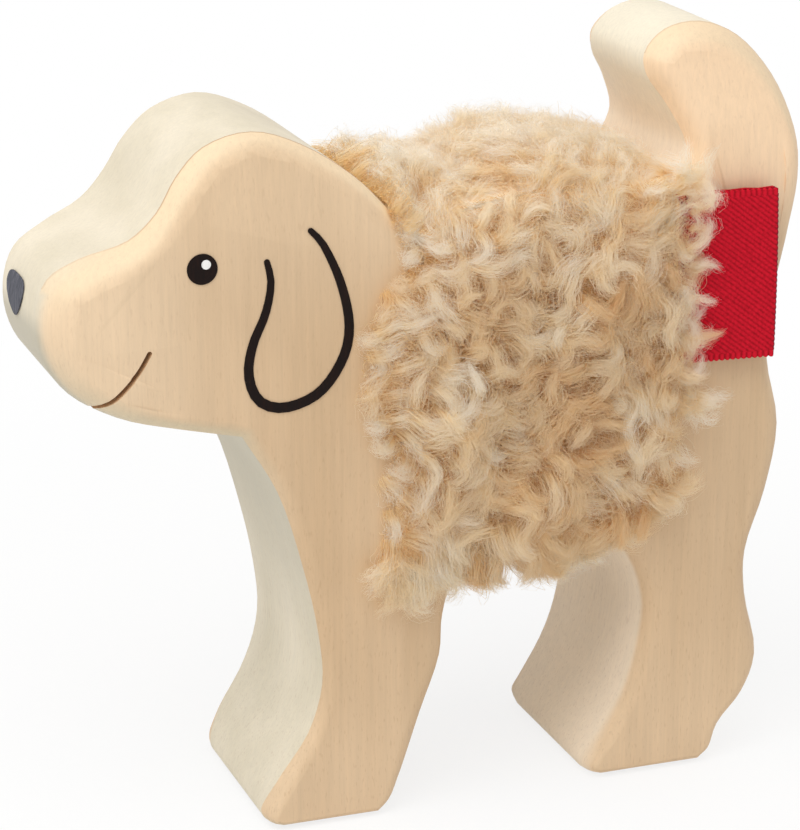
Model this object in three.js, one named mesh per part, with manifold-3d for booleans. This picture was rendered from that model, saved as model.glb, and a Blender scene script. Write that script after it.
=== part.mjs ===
// A wooden dog sawn from one thick plank and dressed in a band of curly plush.
// Millimetres, +Z up. The dog faces -X and stands on z = 0, and its left side is towards -Y.
import * as THREE from 'three';
import { mergeVertices } from 'three/addons/utils/BufferGeometryUtils.js';
import { TessellateModifier } from 'three/addons/modifiers/TessellateModifier.js';
import Module from 'manifold-3d';

const wasm = await Module();
wasm.setup();

// Driving dimensions
const PLANK_THICKNESS = 31;
const CLEARANCE = 0.3;
const PAINT_FILM = 0.12;
const PAINT_GAP = 0.1;

// Side profile of the plank, clockwise seen from the dog's left.
// Each row is x, z, how far the sanded edge reaches in over the face, and how far across the rim.
const HEAD_LINE = [
  [-27.4, 57.4, 2.0, 1.5],
  [-36.2, 59.4, 2.4, 2.0],
  [-43.8, 61.4, 2.8, 2.8],
  [-49.6, 64.7, 3.4, 3.8],
  [-52.6, 69.4, 4.0, 4.4],
  [-53.3, 75.0, 4.2, 4.6],
  [-51.6, 79.9, 4.0, 4.6],
  [-47.5, 82.5, 3.8, 4.4],
  [-41.5, 84.9, 3.5, 3.4],
  [-38.0, 88.3, 3.5, 2.9],
  [-35.2, 92.7, 3.5, 2.6],
  [-31.4, 96.3, 3.2, 1.9],
  [-25.0, 97.9, 2.8, 1.1],
  [-18.4, 95.8, 2.6, 1.2],
  [-11.5, 91.2, 2.6, 1.5],
  [-6.8, 86.3, 2.6, 1.5],
  [-3.6, 82.4, 2.4, 1.5],
];
const BACK_LINE = [
  [-3.6, 82.4, 2.4, 1.5],
  [3.0, 85.6, 2.4, 1.5],
  [15.0, 87.0, 2.4, 1.5],
  [28.0, 86.4, 2.4, 1.5],
  [35.6, 87.2, 2.4, 2.0],
];
const TAIL_LINE = [
  [35.6, 87.2, 2.4, 2.0],
  [36.6, 91.0, 2.8, 2.6],
  [34.4, 96.4, 3.2, 3.2],
  [32.0, 100.4, 3.0, 3.6],
  [31.9, 103.2, 2.8, 3.6],
  [34.9, 106.2, 3.0, 3.6],
  [40.0, 107.0, 3.6, 3.4],
  [45.5, 104.8, 3.6, 3.0],
  [50.2, 99.4, 3.2, 2.6],
  [52.8, 92.2, 3.0, 2.3],
  [53.3, 85.2, 2.8, 2.1],
  [51.8, 76.8, 2.4, 2.0],
];
const RUMP_LINE = [
  [51.8, 76.8, 2.4, 2.0],
  [49.7, 67.5, 2.2, 1.6],
  [49.4, 59.8, 2.2, 1.6],
  [51.4, 50.0, 2.4, 1.6],
  [49.8, 40.3, 2.2, 1.5],
  [47.0, 31.5, 2.0, 1.4],
  [47.2, 25.0, 2.0, 1.4],
  [49.3, 15.3, 2.0, 1.6],
  [47.4, 9.6, 2.0, 1.8],
  [43.8, 5.2, 1.8, 2.0],
  [42.4, 1.6, 1.4, 2.4],
  [40.4, 0.0, 1.2, 2.6],
];
const REAR_SOLE = [
  [40.4, 0.0, 1.2, 2.6],
  [25.0, 0.0, 1.2, 3.6],
];
const ARCH_LINE = [
  [25.0, 0.0, 1.2, 3.6],
  [23.3, 0.6, 1.3, 4.2],
  [22.7, 2.1, 1.5, 4.2],
  [24.3, 5.0, 1.9, 3.0],
  [28.2, 12.0, 2.4, 2.2],
  [30.4, 20.0, 2.6, 2.0],
  [30.8, 27.0, 2.6, 2.0],
  [27.4, 34.6, 2.4, 1.8],
  [20.0, 38.6, 2.2, 1.6],
  [10.0, 38.4, 2.2, 1.6],
  [3.2, 34.6, 2.2, 1.5],
  [0.9, 28.4, 2.0, 1.3],
  [0.4, 22.5, 1.8, 1.2],
  [-2.5, 14.2, 1.8, 1.2],
  [-5.2, 6.0, 1.8, 1.3],
  [-6.8, 1.7, 1.5, 1.8],
  [-8.6, 0.0, 1.2, 2.2],
];
const FRONT_SOLE = [
  [-8.6, 0.0, 1.2, 2.2],
  [-22.6, 0.0, 1.2, 3.2],
];
const CHEST_LINE = [
  [-22.6, 0.0, 1.2, 3.2],
  [-24.3, 0.6, 1.3, 3.6],
  [-24.9, 2.2, 1.5, 3.6],
  [-23.2, 6.3, 1.9, 2.2],
  [-18.7, 13.6, 2.0, 1.3],
  [-16.7, 20.6, 2.0, 1.1],
  [-17.2, 28.2, 2.0, 1.1],
  [-19.3, 38.2, 2.0, 1.2],
  [-22.7, 49.2, 2.0, 1.3],
  [-27.4, 57.4, 2.0, 1.5],
];
const STEPS_PER_SPAN = 4;
const EDGE_STEPS = 4;
const SHARPEST_MITRE = 0.6;

// The sanded edge leaves the rim at a crease, part of the way round an elliptic quarter
const EDGE_START = THREE.MathUtils.degToRad(35);

// The plank is sanded thinner towards the nose and the tip of the tail: loss on each face, and its run
const NOSE_THINNING = 2.2;
const NOSE_THINNING_FROM = -38;
const NOSE_THINNING_TO = -54;
const TAIL_THINNING = 3.6;
const TAIL_THINNING_FROM = 88;
const TAIL_THINNING_TO = 106;
const FACE_GRID = 14;
const FACE_GRID_PASSES = 10;

// Mouth: a saw kerf through the plank, from just outside the chin
const MOUTH_WIDTH = 0.65;
const MOUTH_PATH = [
  [-48.4, 61.6], [-46.6, 63.1], [-44.4, 64.8], [-42.5, 66.7], [-41.2, 68.4], [-40.0, 70.6],
];
const CUT_OVERRUN = 1;

// Painted face
const EYE_DIAMETER = 4.1;
const EYE_CENTRE = [-32.8, 81.2];
const EYE_SIDES = 40;
const GLINT_DIAMETER = 1.25;
const GLINT_OFFSET = [0.5, 0.6];
const GLINT_SIDES = 20;
const EAR_WIDTH_ENDS = 0.8;
const EAR_WIDTH_LOBE = 1.4;
const EAR_SWELL_POWER = 0.7;
const EAR_PATH = [
  [-24.1, 81.3], [-23.6, 78.4], [-24.4, 74.4], [-26.2, 70.3], [-26.8, 66.2], [-25.4, 62.6], [-21.9, 61.3],
  [-17.2, 62.8], [-13.9, 67.0], [-12.9, 71.6], [-14.0, 77.4], [-16.3, 82.7], [-18.1, 84.9],
];
const NOSE_WIDTH = 8.4;
const NOSE_OFFSET = 1.8;
const NOSE_TOP = 78.0;
const NOSE_CROWN = 1.7;
const NOSE_HEIGHT = 5.5;
const NOSE_TIP_ROUNDING = 1.5;
const NOSE_TOP_ROUNDING = 2.6;

// Plush coat: pile height over the flanks, top and hem heights, and where its two edges run (x, z)
const COAT_PILE = 6;
const COAT_TOP = 94;
const COAT_HEM = 31;
const COAT_FRONT_EDGE = [[-9.0, 31.0], [-9.5, 50.0], [-13.0, 70.0], [-9.0, 84.0], [-5.5, 94.0]];
const COAT_REAR_EDGE = [[25.0, 31.0], [35.6, 42.0], [36.2, 60.0], [36.2, 84.0], [32.6, 94.0]];
const COAT_SQUARENESS = 3.4;
const COAT_EDGE_ROUNDING = 0.11;
const COAT_EDGE_POWER = 4;
const COAT_SIDES = 40;
const COAT_RINGS = 12;
const EDGE_SEARCH_STEPS = 24;

// Folded label: a ribbon loop whose two plies are caught under the rear edge of the coat
const LABEL_HEIGHT = 23.8;
const LABEL_REACH = 11.5;
const LABEL_TUCK = 3;
const LABEL_PLY = 0.5;
const LABEL_FOLD_GAP = 0.3;
const LABEL_MIDDLE = 73.4;

const CURVE_SEGMENTS = 8;
const WELD_DISTANCE = 1e-4;

const FACE = PLANK_THICKNESS / 2;

// Helpers

function finish(colour, roughness) {
  return new THREE.MeshStandardMaterial({ color: colour, roughness, metalness: 0 });
}

function toSolid(geometry) {
  const bare = geometry.clone();
  bare.deleteAttribute('normal');
  bare.deleteAttribute('uv');
  const merged = mergeVertices(bare, WELD_DISTANCE);
  return new wasm.Manifold(new wasm.Mesh({
    numProp: 3,
    vertProperties: new Float32Array(merged.attributes.position.array),
    triVerts: new Uint32Array(merged.index.array),
  }));
}

function toGeometry(solid) {
  const mesh = solid.getMesh();
  const geometry = new THREE.BufferGeometry();
  geometry.setAttribute('position', new THREE.BufferAttribute(mesh.vertProperties, 3));
  geometry.setIndex(new THREE.BufferAttribute(mesh.triVerts, 1));
  geometry.computeVertexNormals();
  return geometry;
}

function fromTriangles(points, triangles) {
  const geometry = new THREE.BufferGeometry();
  geometry.setAttribute('position', new THREE.Float32BufferAttribute(points.flat(), 3));
  geometry.setIndex(triangles.flat());
  geometry.computeVertexNormals();
  return geometry;
}

// A flat plate of an x, z outline, from y = low to y = high
function plate(outline, low, high) {
  const shape = new THREE.Shape(outline.map(([x, z]) => new THREE.Vector2(x, z)));
  const geometry = new THREE.ExtrudeGeometry(shape, { depth: high - low, bevelEnabled: false });
  return geometry.rotateX(Math.PI / 2).translate(0, high, 0);
}

// A stroke of changing width along a path, with round ends
function stroke(path, widthAt, steps = 40, capSteps = 6) {
  const curve = new THREE.SplineCurve(path.map(([x, z]) => new THREE.Vector2(x, z)));
  const left = [];
  const right = [];
  for (let i = 0; i <= steps; i++) {
    const at = i / steps;
    const point = curve.getPointAt(at);
    const along = curve.getTangentAt(at);
    const half = widthAt(at) / 2;
    left.push([point.x - along.y * half, point.y + along.x * half]);
    right.push([point.x + along.y * half, point.y - along.x * half]);
  }
  const cap = (at, turn) => {
    const point = curve.getPointAt(at);
    const along = curve.getTangentAt(at);
    const half = widthAt(at) / 2;
    const start = Math.atan2(along.y, along.x) + turn;
    return Array.from({ length: capSteps - 1 }, (_, i) => {
      const angle = start + (i + 1) * Math.PI / capSteps;
      return [point.x + half * Math.cos(angle), point.y + half * Math.sin(angle)];
    });
  };
  return [...right, ...cap(1, -Math.PI / 2), ...left.reverse(), ...cap(0, Math.PI / 2)];
}

function disc([x, z], diameter, sides) {
  return Array.from({ length: sides }, (_, i) => {
    const angle = i * 2 * Math.PI / sides;
    return [x + diameter / 2 * Math.cos(angle), z + diameter / 2 * Math.sin(angle)];
  });
}

// Profile of the plank: points with their edge rounding, and the normals that point out of the wood

function sampleLine(rows) {
  const landmarks = rows.map(([x, z]) => new THREE.Vector3(x, 0, z));
  const curve = new THREE.CatmullRomCurve3(landmarks, false, 'centripetal');
  const spans = rows.length - 1;
  const samples = [];
  for (let i = 0; i < spans * STEPS_PER_SPAN; i++) {
    const span = Math.floor(i / STEPS_PER_SPAN);
    const share = i / STEPS_PER_SPAN - span;
    const point = curve.getPoint(i / (spans * STEPS_PER_SPAN));
    const inset = THREE.MathUtils.lerp(rows[span][2], rows[span + 1][2], share);
    const depth = THREE.MathUtils.lerp(rows[span][3], rows[span + 1][3], share);
    samples.push({ x: point.x, z: point.z, inset, depth });
  }
  return samples;
}

function profile() {
  const lines = [
    HEAD_LINE, BACK_LINE, TAIL_LINE, RUMP_LINE, REAR_SOLE, ARCH_LINE, FRONT_SOLE, CHEST_LINE,
  ];
  const samples = lines.flatMap(sampleLine);
  const count = samples.length;
  samples.forEach((here, i) => {
    const before = samples[(i + count - 1) % count];
    const after = samples[(i + 1) % count];
    const into = new THREE.Vector2(here.x - before.x, here.z - before.z).normalize();
    const away = new THREE.Vector2(after.x - here.x, after.z - here.z).normalize();
    const along = into.clone().add(away).normalize();
    const mitre = 1 / Math.max(along.dot(into), SHARPEST_MITRE);
    here.out = [-along.y * mitre, along.x * mitre];
  });
  return samples;
}

const PROFILE = profile();

function grownProfile(margin) {
  return PROFILE.map(({ x, z, out }) => [x + out[0] * margin, z + out[1] * margin]);
}

// Half thickness of the plank at a point of its side
function faceAt(x, z) {
  const nose = THREE.MathUtils.smoothstep(-x, -NOSE_THINNING_FROM, -NOSE_THINNING_TO);
  const tail = THREE.MathUtils.smoothstep(z, TAIL_THINNING_FROM, TAIL_THINNING_TO);
  return FACE - NOSE_THINNING * nose - TAIL_THINNING * tail;
}

// Sub-parts

// The plank: rings from the left face over the sanded edge, across the rim and on to the right face
function woodenBody() {
  const count = PROFILE.length;
  const rings = [];
  for (const side of [-1, 1]) {
    for (let i = 0; i <= EDGE_STEPS; i++) {
      const step = side < 0 ? EDGE_STEPS - i : i;
      const angle = THREE.MathUtils.lerp(EDGE_START, Math.PI / 2, step / EDGE_STEPS);
      const reach = 1 - Math.cos(angle) / Math.cos(EDGE_START);
      const drop = (1 - Math.sin(angle)) / (1 - Math.sin(EDGE_START));
      rings.push(PROFILE.map((here) => {
        const x = Math.fround(here.x - here.out[0] * here.inset * reach);
        const z = Math.fround(here.z - here.out[1] * here.inset * reach);
        return [x, side * (faceAt(x, z) - here.depth * drop), z];
      }));
    }
  }
  const corners = [];
  for (let ring = 0; ring + 1 < rings.length; ring++) {
    for (let i = 0; i < count; i++) {
      const next = (i + 1) % count;
      const [a, b] = [rings[ring][i], rings[ring][next]];
      const [c, d] = [rings[ring + 1][i], rings[ring + 1][next]];
      corners.push(a, b, c, b, d, c);
    }
  }
  const outline = rings[0].map(([x, , z]) => new THREE.Vector2(x, z));
  const flat = new THREE.ShapeGeometry(new THREE.Shape(outline)).toNonIndexed();
  const grid = new TessellateModifier(FACE_GRID, FACE_GRID_PASSES).modify(flat).attributes.position;
  for (let i = 0; i < grid.count; i += 3) {
    const [a, b, c] = [i, i + 1, i + 2].map(at => [grid.getX(at), grid.getY(at)]);
    const left = ([x, z]) => [x, -faceAt(x, z), z];
    const right = ([x, z]) => [x, faceAt(x, z), z];
    corners.push(left(a), left(b), left(c), right(a), right(c), right(b));
  }
  const blank = toSolid(fromTriangles(corners, corners.map((_, i) => i)));
  const cutDepth = FACE + CUT_OVERRUN;
  const kerf = toSolid(plate(stroke(MOUTH_PATH, () => MOUTH_WIDTH), -cutDepth, cutDepth));
  return toGeometry(blank.subtract(kerf));
}

// One x on an edge of the coat at a height z
function edgeAt(edge, z) {
  const curve = new THREE.CatmullRomCurve3(edge.map(([x, height]) => new THREE.Vector3(x, 0, height)));
  const lowest = edge[0][1];
  const highest = edge[edge.length - 1][1];
  const held = THREE.MathUtils.clamp(z, lowest, highest);
  let from = 0;
  let to = 1;
  for (let i = 0; i < EDGE_SEARCH_STEPS; i++) {
    const middle = (from + to) / 2;
    if (curve.getPoint(middle).z < held) from = middle;
    else to = middle;
  }
  return curve.getPoint(from).x;
}

function labelBounds() {
  const seam = edgeAt(COAT_REAR_EDGE, LABEL_MIDDLE);
  const thickness = 2 * LABEL_PLY + LABEL_FOLD_GAP;
  return { left: seam - LABEL_TUCK, right: seam + LABEL_REACH, back: -FACE - CLEARANCE, thickness };
}

// The coat: a swelling sleeve, hollowed by the plank and by the tucked end of the label
function plushCoat() {
  const halfWidth = FACE + CLEARANCE + COAT_PILE;
  const halfHeight = (COAT_TOP - COAT_HEM) / 2;
  const middle = (COAT_TOP + COAT_HEM) / 2;
  const bend = value => Math.sign(value) * Math.abs(value) ** (2 / COAT_SQUARENESS);
  const points = [];
  for (let ring = 0; ring < COAT_RINGS; ring++) {
    const share = ring / (COAT_RINGS - 1);
    const swell = 1 - COAT_EDGE_ROUNDING * Math.abs(2 * share - 1) ** COAT_EDGE_POWER;
    for (let side = 0; side < COAT_SIDES; side++) {
      const angle = side * 2 * Math.PI / COAT_SIDES;
      const y = halfWidth * swell * bend(Math.cos(angle));
      const height = halfHeight * bend(Math.sin(angle));
      const front = edgeAt(COAT_FRONT_EDGE, middle + height);
      const rear = edgeAt(COAT_REAR_EDGE, middle + height);
      points.push([THREE.MathUtils.lerp(front, rear, share), y, middle + height * swell]);
    }
  }
  const triangles = [];
  for (let ring = 0; ring + 1 < COAT_RINGS; ring++) {
    for (let side = 0; side < COAT_SIDES; side++) {
      const next = (side + 1) % COAT_SIDES;
      const a = ring * COAT_SIDES + side;
      const b = ring * COAT_SIDES + next;
      triangles.push([a, b, a + COAT_SIDES], [b, b + COAT_SIDES, a + COAT_SIDES]);
    }
  }
  const last = (COAT_RINGS - 1) * COAT_SIDES;
  const frontCentre = points.length;
  points.push([edgeAt(COAT_FRONT_EDGE, middle), 0, middle]);
  const rearCentre = points.length;
  points.push([edgeAt(COAT_REAR_EDGE, middle), 0, middle]);
  for (let side = 0; side < COAT_SIDES; side++) {
    const next = (side + 1) % COAT_SIDES;
    triangles.push([frontCentre, next, side], [rearCentre, last + side, last + next]);
  }
  const sleeve = toSolid(fromTriangles(points, triangles));
  const inside = FACE + CLEARANCE;
  const hollow = toSolid(plate(grownProfile(CLEARANCE), -inside, inside));
  const { left, right, back, thickness } = labelBounds();
  const low = LABEL_MIDDLE - LABEL_HEIGHT / 2 - CLEARANCE;
  const high = LABEL_MIDDLE + LABEL_HEIGHT / 2 + CLEARANCE;
  const pocketOutline = [[left - CLEARANCE, low], [right, low], [right, high], [left - CLEARANCE, high]];
  const pocket = toSolid(plate(pocketOutline, back - thickness - CLEARANCE, -FACE));
  return toGeometry(sleeve.subtract(hollow).subtract(pocket));
}

// The label: a hairpin section, folded at its free end, drawn up through its height
function wovenLabel() {
  const { left, right, back, thickness } = labelBounds();
  const foldRadius = thickness / 2;
  const foldX = right - foldRadius;
  const section = new THREE.Shape();
  section.moveTo(left, back);
  section.lineTo(left, back - LABEL_PLY);
  section.lineTo(foldX, back - LABEL_PLY);
  section.absarc(foldX, back - foldRadius, LABEL_FOLD_GAP / 2, Math.PI / 2, -Math.PI / 2, true);
  section.lineTo(left, back - thickness + LABEL_PLY);
  section.lineTo(left, back - thickness);
  section.lineTo(foldX, back - thickness);
  section.absarc(foldX, back - foldRadius, foldRadius, -Math.PI / 2, Math.PI / 2, false);
  const geometry = new THREE.ExtrudeGeometry(section, {
    depth: LABEL_HEIGHT, bevelEnabled: false, curveSegments: CURVE_SEGMENTS,
  });
  return geometry.translate(0, 0, LABEL_MIDDLE - LABEL_HEIGHT / 2);
}

// A paint film on one cheek, lying on the wood or on the film under it
function cheekFilm(outline, side, layer = 0) {
  const inner = FACE + layer * PAINT_FILM;
  const outer = inner + PAINT_FILM;
  return side < 0 ? plate(outline, -outer, -inner) : plate(outline, inner, outer);
}

// The nose: a rounded triangle of paint that follows the front rim, a little off its middle
function nosePaint() {
  const half = NOSE_WIDTH / 2;
  const tip = NOSE_TOP - NOSE_HEIGHT;
  const widest = NOSE_TOP - NOSE_CROWN;
  const shape = new THREE.Shape();
  const cheek = widest - NOSE_TIP_ROUNDING;
  shape.moveTo(0, tip);
  shape.bezierCurveTo(NOSE_TIP_ROUNDING, tip, half, cheek, half, widest);
  shape.bezierCurveTo(half, NOSE_TOP, NOSE_TOP_ROUNDING, NOSE_TOP, 0, NOSE_TOP);
  shape.bezierCurveTo(-NOSE_TOP_ROUNDING, NOSE_TOP, -half, NOSE_TOP, -half, widest);
  shape.bezierCurveTo(-half, cheek, -NOSE_TIP_ROUNDING, tip, 0, tip);
  const front = Math.min(...PROFILE.map(({ x }) => x));
  const prism = new THREE.ExtrudeGeometry(shape, {
    depth: PLANK_THICKNESS, bevelEnabled: false, curveSegments: CURVE_SEGMENTS,
  });
  prism.applyMatrix4(new THREE.Matrix4().set(
    0, 0, 1, front - CUT_OVERRUN,
    1, 0, 0, NOSE_OFFSET,
    0, 1, 0, 0,
    0, 0, 0, 1,
  ));
  const outside = toSolid(plate(grownProfile(PAINT_GAP + PAINT_FILM), -FACE, FACE));
  const cutDepth = FACE + CUT_OVERRUN;
  const inside = toSolid(plate(grownProfile(PAINT_GAP), -cutDepth, cutDepth));
  return toGeometry(toSolid(prism).intersect(outside).subtract(inside));
}

// Assembly

const dog = new THREE.Group();

function add(name, geometry, material) {
  const mesh = new THREE.Mesh(geometry, material);
  mesh.name = name;
  dog.add(mesh);
}

const wood = finish(0xddba8c, 0.6);
const plush = finish(0xd6b78c, 1.0);
const ribbon = finish(0xb0182a, 0.8);
const darkPaint = finish(0x2a1c17, 0.45);
const whitePaint = finish(0xf4f1ea, 0.4);
const slatePaint = finish(0x39383a, 0.5);

add('wooden_body', woodenBody(), wood);
add('plush_coat', plushCoat(), plush);
add('woven_label', wovenLabel(), ribbon);

const glintCentre = [EYE_CENTRE[0] + GLINT_OFFSET[0], EYE_CENTRE[1] + GLINT_OFFSET[1]];
const earSwell = at => Math.sin(Math.PI * at) ** EAR_SWELL_POWER;
const earWidth = at => THREE.MathUtils.lerp(EAR_WIDTH_ENDS, EAR_WIDTH_LOBE, earSwell(at));
for (const [name, side] of [['left', -1], ['right', 1]]) {
  add(`eye_${name}`, cheekFilm(disc(EYE_CENTRE, EYE_DIAMETER, EYE_SIDES), side), darkPaint);
  const glint = disc(glintCentre, GLINT_DIAMETER, GLINT_SIDES);
  add(`eye_glint_${name}`, cheekFilm(glint, side, 1), whitePaint);
  add(`ear_line_${name}`, cheekFilm(stroke(EAR_PATH, earWidth), side), darkPaint);
}
add('nose_paint', nosePaint(), slatePaint);

// The origin lies under the middle of the dog's length
const xs = PROFILE.map(({ x }) => x);
dog.position.x = -(Math.min(...xs) + Math.max(...xs)) / 2;

export default dog;
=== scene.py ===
import math
from functools import partial
from types import SimpleNamespace

import bmesh
import bpy
import numpy as np
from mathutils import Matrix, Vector
from mathutils.bvhtree import BVHTree


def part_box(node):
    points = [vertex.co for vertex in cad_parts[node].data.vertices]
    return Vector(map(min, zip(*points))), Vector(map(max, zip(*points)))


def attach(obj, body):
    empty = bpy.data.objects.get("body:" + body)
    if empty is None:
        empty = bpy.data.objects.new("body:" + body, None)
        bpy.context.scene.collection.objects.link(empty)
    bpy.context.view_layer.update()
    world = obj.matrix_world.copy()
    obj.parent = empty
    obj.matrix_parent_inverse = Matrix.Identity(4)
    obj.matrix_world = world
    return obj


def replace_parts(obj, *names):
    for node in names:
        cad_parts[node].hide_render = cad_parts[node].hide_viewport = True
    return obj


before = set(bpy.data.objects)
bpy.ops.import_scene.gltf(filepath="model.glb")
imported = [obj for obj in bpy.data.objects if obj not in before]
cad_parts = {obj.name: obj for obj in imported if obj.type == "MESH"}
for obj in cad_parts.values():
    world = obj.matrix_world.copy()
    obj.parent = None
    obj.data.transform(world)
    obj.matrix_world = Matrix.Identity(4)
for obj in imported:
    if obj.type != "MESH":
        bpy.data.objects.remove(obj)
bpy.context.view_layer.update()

MM = 0.001
BODY = "root"
WHITE = (1, 1, 1, 1)
rng = np.random.default_rng(11)


def srgb(red, green, blue):
    """A linear colour from 8-bit display values."""
    shares = np.array([red, green, blue]) / 255
    linear = np.where(shares <= 0.04045, shares / 12.92, ((shares + 0.055) / 1.055) ** 2.4)
    return (*map(float, linear), 1.0)


# Camera, as the photograph was taken
CAMERA_PLACE = Vector((-140.8, -376.7, 188.1)) * MM
CAMERA_TARGET = Vector((0.01, 0.0, 52.8)) * MM
CAMERA_LENS_MM = 132.5
CAMERA_SENSOR_MM = 36.0
CAMERA_NEAR = 10 * MM

# Light and floor: where the floor clears to white, and each lamp's place, size and power
WORLD_STRENGTH = 0.64
FLOOR_SIZE = 12.0
FLOOR_COLOUR = (0.9, 0.9, 0.89, 1)
FLOOR_CLEARS = (0.07, 0.22, 0.8, 1.0)
LAMPS = {
    "key": ((-0.20, -0.20, 0.66), 0.60, 2.7),
    "fill": ((-0.80, -0.20, 0.34), 0.50, 0.8),
}

# Wood mesh, whose faces are told apart by the sideways part of their normals
WELD = 0.002 * MM
RIM_TILT = 0.01
FACE_TILT = 0.35
EDGING_TILT = 0.85
SLIVER_ANGLE = math.radians(160)
SHARP_EDGE = math.radians(50)
CREASE_MAP = "crease"
CREASE_GAIN = 3
NORMAL_WEIGHT = 100
SOFT_MUZZLE_X = -43 * MM
SOFT_MUZZLE_SLOPE = 0.35
SOFT_LEG_X = 15 * MM
SOFT_LEG_TOP = 40 * MM

# Wood colours, its grain as stretch, scale, detail and roughness, and its relief as depth and strength
WOOD_GRAIN = {
    "fine": ((1, 1, 0.035), 1700, 5.0, 0.7),
    "broad": ((1, 0.6, 0.09), 170, 2.0, 0.5),
    "cloud": ((1, 1, 1), 60, 2.0, 0.5),
    "fleck": ((1, 1, 0.2), 4000, 1.0, 0.4),
}
WOOD_RELIEF = (0.03 * MM, 0.5)
SIDE_DARK = srgb(208, 177, 140)
SIDE_LIGHT = srgb(218, 188, 152)
# Painted light: paler sides and a paler tail, where more light falls
SIDE_PAINTED_LIGHT = srgb(235, 208, 174)
TAIL_PAINTED_LIGHT = srgb(246, 213, 176)
# Painted light on rounded edges that face up
ROUNDING_PAINTED_LIGHT = srgb(236, 212, 177)
# Painted shade on the rounding under the chin
CHIN_EDGE_SHADE = srgb(206, 194, 166)
RIM_DARK = srgb(216, 205, 181)
RIM_LIGHT = srgb(228, 217, 195)
# Painted shade on the rim under the chin
CHIN_RIM_SHADE = srgb(196, 188, 168)
# Painted light on the rim behind, with a warmer tone
REAR_RIM_PAINTED_LIGHT = srgb(248, 230, 206)
TAIL_TIP_RIM = srgb(234, 224, 202)
FLECKS = srgb(150, 104, 66)
# A darker line along the crease where the rounding meets the rim
CREASE_LINE_COLOUR = srgb(160, 116, 78)
KERF_GRAIN = ((1, 0.1, 1), 2600, 2.0, 0.6)
KERF_RELIEF = (0.05 * MM, 0.6)
# Painted shade: darker browns inside the mouth's narrow cut
KERF_SHADE_DARK = srgb(190, 150, 105)
KERF_LIGHT = srgb(225, 190, 150)

# Stretches of the wood, its noise or the turn of its surface: from, to, and the values there if not 0 and 1
MIDDLE_NOISE = (0.3, 0.7)
# Muzzle, crown, feet and tail, which painted light pales
MUZZLE_ALONG = (-22 * MM, -48 * MM, 0.0, 0.8)
CROWN_UP = (66 * MM, 90 * MM, 0.0, 0.4)
FEET_UP = (0.0, 30 * MM, 0.4, 0.0)
TAIL_UP = (72 * MM, 90 * MM)
TAIL_ALONG = (25 * MM, 35 * MM)
TAIL_LIGHT_SHARE = 0.8
TAIL_TIP_UP = (92 * MM, 104 * MM)
# Rounded edges that face up, which painted light pales
ROUNDING_LIGHT_TILT = (0.97, 0.72)
ROUNDING_LIGHT_SLOPE = (0.05, 0.4, 0.0, 0.8)
ROUNDING_LIGHT_UP = (20 * MM, 60 * MM, 0.15, 1.0)
# Under the chin, where painted shade greys the rounding and the rim
CHIN_ALONG = (-18 * MM, -26 * MM)
CHIN_UP = (20 * MM, 52 * MM)
CHIN_EDGE_SLOPE = (-0.1, -0.7, 0.0, 0.7)
CHIN_RIM_SLOPE = (0.1, -0.1)
# Behind, where painted light lifts the rim
REAR_ALONG = (0.0, 20 * MM)
CRISP_TILT = (RIM_TILT, 0.05)
SOFT_TILT = (0.0, 0.6)
SOFT_MUZZLE_ALONG = (-40 * MM, -50 * MM)
SOFT_LEG_ALONG = (SOFT_LEG_X - 3 * MM, SOFT_LEG_X + 3 * MM)
SOFT_LEG_UP = (SOFT_LEG_TOP + 3 * MM, SOFT_LEG_TOP - 5 * MM)
STREAK_SHADES = (0.25, 0.75, 0.93, 1.06)
CLOUD_SHADES = (0.3, 0.7, 0.97, 1.03)
FLECK_NOISE = (0.60, 0.74)
FLECK_UP = (30 * MM, 75 * MM, 0.18, 0.09)
# Where the darker crease line shows: along the crease, higher up, weaker at the tail and the muzzle
CREASE_LINE_RANGE = (0.80, 0.92)
CREASE_LINE_UP = (50 * MM, 75 * MM, 0.0, 0.6)
CREASE_LINE_TAIL = (20 * MM, 30 * MM, 1.0, 0.45)
CREASE_LINE_MUZZLE = (-36 * MM, -45 * MM, 1.0, 0.3)
WOOD_ROUGHNESS = (0.3, 0.7, 0.50, 0.66)

# Paint: its thick and its thin colour, how much the grain thins it, its roughness, and the nodes it colours
PAINTS = {
    "dark_brown_paint": (
        srgb(20, 9, 6), srgb(44, 24, 16), 0.5, 0.5,
        ["eye_left", "eye_right", "ear_line_left", "ear_line_right"],
    ),
    "white_paint": (
        srgb(244, 243, 240), srgb(205, 203, 198), 0.6, 0.4, ["eye_glint_left", "eye_glint_right"],
    ),
    "slate_paint": (srgb(66, 67, 76), srgb(120, 120, 128), 0.8, 0.55, ["nose_paint"]),
}
PAINT_GRAIN = ((1, 1, 0.12), 2400, 3.0, 0.65)
PAINT_THIN_NOISE = (0.42, 0.72)
PAINT_ROUGHER = 0.15

# Plush coat: its front and rear edges, as height and place along the dog
COAT_FRONT = np.array([
    (31, -10.5), (43, -9.6), (49, -9.0), (54, -8.8), (58, -11.6), (64, -12.6), (69, -12.6), (73, -10.8),
    (77.5, -7.2), (84, -6.0), (88, -9.5), (94, -10.5),
]) * MM
COAT_REAR = np.array([
    (31, 25.0), (42, 35.8), (58, 36.2), (66, 36.6), (80, 37.0), (86, 36.6), (90, 35.4), (94, 33.5),
]) * MM

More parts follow.
